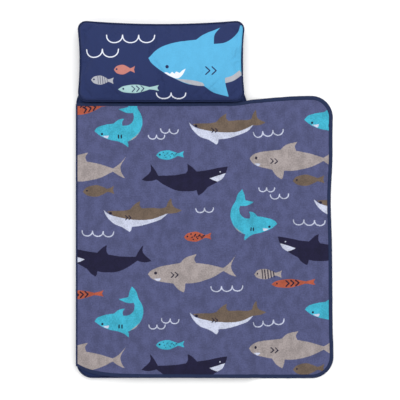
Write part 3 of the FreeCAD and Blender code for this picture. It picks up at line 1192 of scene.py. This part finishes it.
# %% [markdown]
# The settled grid is made four times finer, and a face is put on each side of it. Two limits
# keep ripples out of the way of the joints: near a fold line the fleece stays below the fold,
# and no ripple is so high that it would press into the floor when the blanket is turned back.

# %% Both faces of the fleece
FINER = 4
FLEECE_HALF_AT_EDGE = np.array([0.5, 1.4, 1.7, 1.75, 1.75]) * MM

fine = soften(finer_grid(blanket_grid, FINER), 2)
fine[..., 2] = np.maximum(fine[..., 2], HALF_THICKNESS + 0.3 * MM)
fine_cut = finer_grid(np.stack([cut_s, cut_v, 0 * cut_s], axis=2), FINER)
turn_back = next(j for j in frame["joints"] if j["name"] == "blanket_turn_back")
past_flat = math.radians(turn_back["range_deg"][1] - 180)
turned_floor = 2 * seam_z - fine_cut[..., 0] * math.sin(past_flat) - HALF_THICKNESS - 0.6 * MM
from_fold = np.abs(fine[..., 1:2] - fold_y).min(axis=2)
fold_room = folds[0][2] - HALF_THICKNESS - 0.3 * MM + 0.15 * np.maximum(from_fold - 14 * MM, 0)
fine[..., 2] = np.minimum(fine[..., 2], np.minimum(turned_floor, fold_room))
normals = grid_normals(fine)
fine_size = fine.shape[:2]
row, column = np.indices(fine_size)
ring = np.minimum(np.minimum(row, fine_size[0] - 1 - row), fine_size[1] - 1 - column)
half = np.where(ring < FINER, FLEECE_HALF_AT_EDGE[np.minimum(ring, FINER)], HALF_THICKNESS)
upper, lower = fine + half[..., None] * normals, fine - half[..., None] * normals
ink_fields = print_blanket(fine_cut[..., :2].reshape(-1, 2))
no_ink = empty_fields(BLANKET_INKS, fine_cut[..., 0].size)
both_fields = {ink: np.concatenate([ink_fields[ink], no_ink[ink]]) for ink in BLANKET_INKS}
both_fields["flat"] = np.tile(fine_cut.reshape(-1, 3), (2, 1))
face_count = (fine_size[0] - 1) * (fine_size[1] - 1)
fleece = pieces_over_folds(
    "blanket_fleece",
    panel_middles[:3],
    np.concatenate([upper.reshape(-1, 3), lower.reshape(-1, 3)]),
    both_sides(fine_size),
    [printed_fleece, plain_fleece],
    layers=np.repeat([0, 1], face_count),
    fields=both_fields,
)

# %% [markdown]
# The blanket's free edges are bound with a woven tape, folded over the edge and sewn down. The
# tape is stiffer than the plush, so it lies a little proud of it and rounds over at the edge.
# It uses the outer ring of the blanket's own grid, so it follows every ripple.

# %% Edge binding
TAPE_HALF = np.array([1.3, 2.5, 2.75, 2.7, 2.0]) * MM

half = TAPE_HALF[np.minimum(ring, FINER)]
outward = np.concatenate([fine + half[..., None] * normals, fine - half[..., None] * normals])
count = ring.size
keep = (ring[:-1, :-1] + ring[1:, 1:] + ring[:-1, 1:] + ring[1:, :-1]).ravel() / 4 < FINER
tape_top = grid_faces(*fine_size)[keep]
tape_under = grid_faces(*fine_size, first=count, downward=True)[keep]
edges = np.concatenate([tape_top[:, [k, (k + 1) % 4]] for k in range(4)])
key = np.sort(edges, axis=1) @ (count, 1)
_, first_seen, times = np.unique(key, return_index=True, return_counts=True)
open_edges = edges[first_seen[times == 1]]
walls = np.column_stack([open_edges[:, ::-1], open_edges + count])
binding = pieces_over_folds(
    "blanket_binding",
    panel_middles[:3],
    outward.reshape(-1, 3),
    np.concatenate([tape_top, tape_under, walls]),
    [binding_tape],
    fields={"flat": np.tile(fine_cut.reshape(-1, 3), (2, 1))},
)

# %% [markdown]
# ## The pillow
#
# The pillow is a bag of printed cotton, filled with loose fibre and sewn shut with a thin piping.
# Its front and back are cut as rounded rectangles. When the bag is stuffed, the sides pull in
# between the corners, and the cloth that is left over gathers in short creases along the seam.
# Displacement could fake those creases, but they come for free from the cloth simulation: the
# seam is held, the panels are a little larger than the seam allows, and pressure fills the bag.

# %% The pillow's cut and start shape
PILLOW_CORNER = 29 * MM
PILLOW_PIPING = 2.5 * MM
PILLOW_FULL = 72 * MM
PILLOW_SHOULDER = 74 * MM
PULLED_IN = np.array([9 * MM, 12 * MM])

pillow_middle = (pillow_low + pillow_high) / 2
pillow_half = (pillow_high[:2] - pillow_low[:2]) / 2 - 1.6 * PILLOW_PIPING
pillow_size = (33, 67)
pillow_u, pillow_w = np.meshgrid(
    np.linspace(-pillow_half[0], pillow_half[0], pillow_size[1]),
    np.linspace(-pillow_half[1], pillow_half[1], pillow_size[0]),
)
a = (np.abs(pillow_u) - pillow_half[0]) / PILLOW_CORNER + 1
b = (np.abs(pillow_w) - pillow_half[1]) / PILLOW_CORNER + 1
inside = (a > 0) & (b > 0)
reach = np.maximum(a, b)
safe_reach = np.where(inside, reach, 1)
angle = np.where(a >= b, b / safe_reach, 2 - a / safe_reach) * math.pi / 4
cut_u = np.sign(pillow_u) * (pillow_half[0] - PILLOW_CORNER * (1 - reach * np.cos(angle)))
cut_w = np.sign(pillow_w) * (pillow_half[1] - PILLOW_CORNER * (1 - reach * np.sin(angle)))
cut_u, cut_w = np.where(inside, cut_u, pillow_u), np.where(inside, cut_w, pillow_w)

relative_u, relative_w = cut_u / pillow_half[0], cut_w / pillow_half[1]
pillow_x = cut_u - np.sign(cut_u) * np.abs(relative_u) ** 3 * PULLED_IN[0] * (1 - relative_w**2)
pillow_y = cut_w - np.maximum(relative_w, 0) ** 3 * PULLED_IN[1] * (1 - relative_u**2)
to_seam = inside_distance(cut_u, cut_w, -pillow_half, pillow_half, PILLOW_CORNER)
depth = np.clip(to_seam, 0, None)
dome = np.sqrt(1 - (1 - np.clip(depth / PILLOW_SHOULDER, 0, 1)) ** 2)
crown = 0.86 + 0.14 * (1 - relative_u**2) * (1 - relative_w**2)
pillow_z = PILLOW_FULL / 2 * dome * crown
front_start = np.stack([pillow_x, pillow_y, pillow_z], axis=2)
back_start = front_start * (1, 1, -1)
print("pillow seam", np.round(2 * pillow_half, 3).tolist())

# %% [markdown]
# The bag is pumped up with gravity off. Its cloth is let out by a few percent, so there is more
# of it than the seam needs, and the spare cloth makes the creases.

# %% Filling the pillow
rim, joined = sewn_rim(pillow_size)
pillow_points = np.concatenate([front_start.reshape(-1, 3), back_start.reshape(-1, 3)])
used, small = np.unique(joined[both_sides(pillow_size)], return_inverse=True)
start_shape = pillow_points[used] * (1, 1, 0.8)
bag = cloth_object("bag", start_shape, small.reshape(-1, 4), [])
on_seam = np.isin(used, np.flatnonzero(rim))
cloth = make_cloth(bag, on_seam, mass=0.2, air=5, stretch=20, bending=0.3)
cloth.settings.effector_weights.gravity = 0
cloth.settings.shrink_min = -0.035
cloth.settings.use_pressure = True
cloth.settings.uniform_pressure_force = 5
pillow_points[used] = simulate(bag, 30)
pillow_points = pillow_points[joined]
front = pillow_points[: rim.size].reshape(*pillow_size, 3)
back = pillow_points[rim.size :].reshape(*pillow_size, 3)
print("pillow filled to", round(float(front[..., 2].max() - back[..., 2].min()), 4), "m")

# %% [markdown]
# The filled bag is lowered onto the mat, where its underside goes flat. Front and back become
# one mesh that shares its seam, with the print on the front and plain navy cotton on the back.

# %% Pillow cover on the mat
PILLOW_FINER = 4
PILLOW_TOP_TRIM = 0.5 * MM
SEAM_SAG = 16 * MM
RESTS_AT = mat_high[2] + 0.5 * MM

seam_height = pillow_high[2] - PILLOW_FULL / 2 - PILLOW_TOP_TRIM
fill_height = (pillow_high[2] - PILLOW_TOP_TRIM - seam_height) / front[..., 2].max()
fine_front = finer_grid(front * (1, 1, fill_height), PILLOW_FINER)
fine_back = finer_grid(back * (1, 1, fill_height), PILLOW_FINER)
lift = np.array([pillow_middle[0], pillow_middle[1], seam_height])
for side in (fine_front, fine_back):
    towards_foot = np.clip(-side[..., 1] / pillow_half[1], 0, 1)
    side[..., 2] -= SEAM_SAG * towards_foot**3
fine_front, fine_back = fine_front + lift, fine_back + lift
fine_back[..., 2] = np.maximum(fine_back[..., 2], RESTS_AT)
fine_back = soften(fine_back, 3)
fine_pillow_cut = finer_grid(np.stack([cut_u, cut_w, 0 * cut_u], axis=2), PILLOW_FINER)
print_at = (fine_front - lift)[..., :2]
_, joined = sewn_rim(fine_front.shape[:2])
points = np.concatenate([fine_front.reshape(-1, 3), fine_back.reshape(-1, 3)])
faces = joined[both_sides(fine_front.shape[:2])]
used, small = np.unique(faces, return_inverse=True)
front_inks = print_pillow(print_at.reshape(-1, 2))
fields = {ink: np.concatenate([front_inks[ink], front_inks[ink]])[used] for ink in PILLOW_INKS}
fields["flat"] = np.tile(fine_pillow_cut.reshape(-1, 3), (2, 1))[used]
pillow_cover = cloth_object(
    "pillow_cover",
    points[used],
    small.reshape(-1, 4),
    [printed_cotton, cotton_back],
    np.repeat([0, 1], len(faces) // 2),
    fields,
)
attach(pillow_cover, "mat_head")
print("pillow cover has", len(faces), "faces")

# %% [markdown]
# A thin piping covers the pillow's seam. Its path is the rim of the filled bag itself, moved out
# by a little over half its own radius, so it sits on the seam wherever the sides pull in.

# %% Piping round the pillow
rim_path = np.concatenate(
    [fine_front[0, :-1], fine_front[:-1, -1], fine_front[-1, :0:-1], fine_front[:0:-1, 0]]
)
rim_out = np.cross(np.roll(rim_path, -1, axis=0) - np.roll(rim_path, 1, axis=0), (0, 0, 1))
rim_out /= np.linalg.norm(rim_out, axis=1, keepdims=True)
points, faces, flat = tube(rim_path + 0.6 * PILLOW_PIPING * rim_out, PILLOW_PIPING, closed=True)
pillow_piping = cloth_object(
    "pillow_seam_piping", points, faces, [piping_weave], fields={"flat": flat}
)
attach(pillow_piping, "mat_head")
print("pillow piping path", len(rim_path), "points")

# %% [markdown]
# ## Webbing, patches and handle
#
# The closing straps, the carrying handle and the hook-and-loop patches keep the shapes that the
# frame gives them: they are flat woven tapes, and those solids are already right. They only need
# their material. Polypropylene webbing has coarse ribs and a slight plastic gloss; hook tape is
# a field of stiff little hooks, and loop tape is fuzzy.

# %% Materials for the kept frame parts
kept_materials = {"hook_patch": hook_tape, "loop_patch": loop_tape}  # the rest is webbing
for node, solid in frame["nodes"].items():
    if node.startswith(("strap_", "hook_patch_", "loop_patch_", "handle")):
        material = kept_materials.get(node.rsplit("_", 1)[0], webbing)
        solid.data.materials.clear()
        solid.data.materials.append(material)
        solid.data.polygons.foreach_set("material_index", [0] * len(solid.data.polygons))
        print(node, "in", material.name)

# %% [markdown]
# ## What each cloth stands for
#
# The solids of the frame that the cloth pieces stand for are hidden.

# %% Replaced solids


def panels_of(number):
    """The panels that a piece stands for: the first piece has two, the others one more each."""
    return PANELS[:2] if number == 0 else [PANELS[number + 1]]


for number, piece in enumerate(mat_cover):
    for panel in panels_of(number):
        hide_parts(f"pad_{panel}", f"top_cover_{panel}", f"bottom_cover_{panel}")
for number, piece in enumerate(mat_piping):
    for panel in panels_of(number):
        ends = panel in ("foot", "head")
        sides = [""] if ends else ["_left", "_right"]
        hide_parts(*[f"piping_{panel}{side}" for side in sides])
for number, (cloth, tape) in enumerate(zip(fleece, binding)):
    for panel in panels_of(number):
        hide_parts(f"blanket_{panel}_over_mat", f"blanket_{panel}_free_side")
        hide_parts(f"binding_{panel}")
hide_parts("pillow_fill", "pillow_front_cover", "pillow_back_cover")
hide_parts("pillow_piping")

# %% [markdown]
# ## Floor and light
#
# The mat lies on a plain pale floor in a bright room with white walls. The sky is an even white,
# and one very large soft lamp overhead, a little towards the pillow, gives the folds a light and
# a dark side without drawing a hard shadow.

# %% Floor, lamp and sky
floor = cloth_object(
    "floor",
    np.array([(-6, -6, 0), (6, -6, 0), (6, 6, 0), (-6, 6, 0)], float),
    np.array([(0, 1, 2, 3)]),
    [],
)
floor_paint = bpy.data.materials.new("matt_white_floor_paint")
floor_paint.use_nodes = True
floor_tree = floor_paint.node_tree
floor_tree.nodes.clear()
grain = add_node(floor_tree, "ShaderNodeTexCoord").outputs["Object"]
noise = {"Vector": grain, "Scale": 1 / (400 * MM), "Detail": 3.0}
share = add_node(floor_tree, "ShaderNodeTexNoise", noise).outputs["Fac"]
whites = {"Factor_Float": share, "A_Color": linear("#f7f7f7"), "B_Color": linear("#fbfbfb")}
mix = add_node(floor_tree, "ShaderNodeMix", whites, data_type="RGBA")
floor_colour = next(s for s in mix.outputs if s.identifier == "Result_Color")
floor_surface = add_node(
    floor_tree, "ShaderNodeBsdfPrincipled", {"Base Color": floor_colour, "Roughness": 0.9}
)
add_node(floor_tree, "ShaderNodeOutputMaterial", {"Surface": floor_surface.outputs["BSDF"]})
floor.data.materials.append(floor_paint)

lamp_data = bpy.data.lights.new("soft_overhead", "AREA")
lamp_data.shape = "DISK"
lamp_data.size = 2.4
lamp_data.energy = 34
lamp = bpy.data.objects.new("soft_overhead", lamp_data)
bpy.context.scene.collection.objects.link(lamp)
lamp.location = (0.2, 1.1, 2.7)
lamp.rotation_euler = (math.radians(-22), 0, 0)

sky = bpy.data.worlds.new("white_room")
sky.use_nodes = True
sky.node_tree.nodes.clear()
white = {"Color": linear("#ffffff"), "Strength": 0.97}
even = add_node(sky.node_tree, "ShaderNodeBackground", white)
add_node(sky.node_tree, "ShaderNodeOutputWorld", {"Surface": even.outputs["Background"]})
bpy.context.scene.world = sky
bpy.context.scene.view_settings.view_transform = "Standard"
print("lamp", lamp_data.energy, "W over", lamp_data.size, "m")
